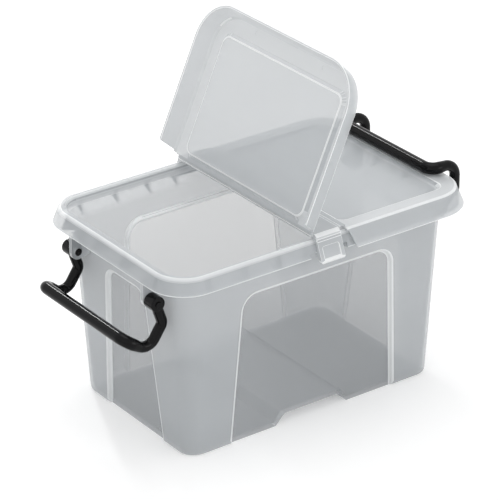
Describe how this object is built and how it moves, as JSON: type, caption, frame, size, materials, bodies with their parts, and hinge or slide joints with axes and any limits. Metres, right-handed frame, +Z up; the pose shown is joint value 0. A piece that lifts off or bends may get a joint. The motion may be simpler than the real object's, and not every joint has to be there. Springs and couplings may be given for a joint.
{
  "type": "portable file box",
  "caption": "Translucent storage box with recessed side panels, a folding lid whose leaf hinges on a central bridge, and black carry handles that swing up to lock over the lid.",
  "frame": {"origin": "centre of the tub's base, on the surface the box stands on", "axes": "+X along the long side towards the locked handle, +Y across the box towards its back, +Z up"},
  "size_m": [0.2644, 0.1614, 0.2399],
  "materials": {
    "tub_plastic": "frosted translucent",
    "lid_plastic": "clear satin",
    "handle_plastic": "gloss"
  },
  "bodies": {
    "box": {"tub": "tub_plastic", "lid_bridge": "lid_plastic", "lid_right_leaf": "lid_plastic", "left_living_hinge": "lid_plastic", "right_living_hinge": "lid_plastic"},
    "left_leaf": {"lid_left_leaf": "lid_plastic"},
    "left_bail": {"left_handle": "handle_plastic"},
    "right_bail": {"right_handle": "handle_plastic"}
  },
  "joints": [
    {"name": "left_leaf_fold", "type": "hinge", "parent": "box", "child": "left_leaf", "pos_m": [-0.0114, 0, 0.1356], "axis": [0, 1, 0], "range_deg": [-114.3, 30.7]},
    {"name": "left_handle_swing", "type": "hinge", "parent": "box", "child": "left_bail", "pos_m": [-0.111, 0, 0.11], "axis": [0, 1, 0], "range_deg": [0, 146]},
    {"name": "right_handle_swing", "type": "hinge", "parent": "box", "child": "right_bail", "pos_m": [0.111, 0, 0.11], "axis": [0, 1, 0], "range_deg": [0, 146]}
  ]
}
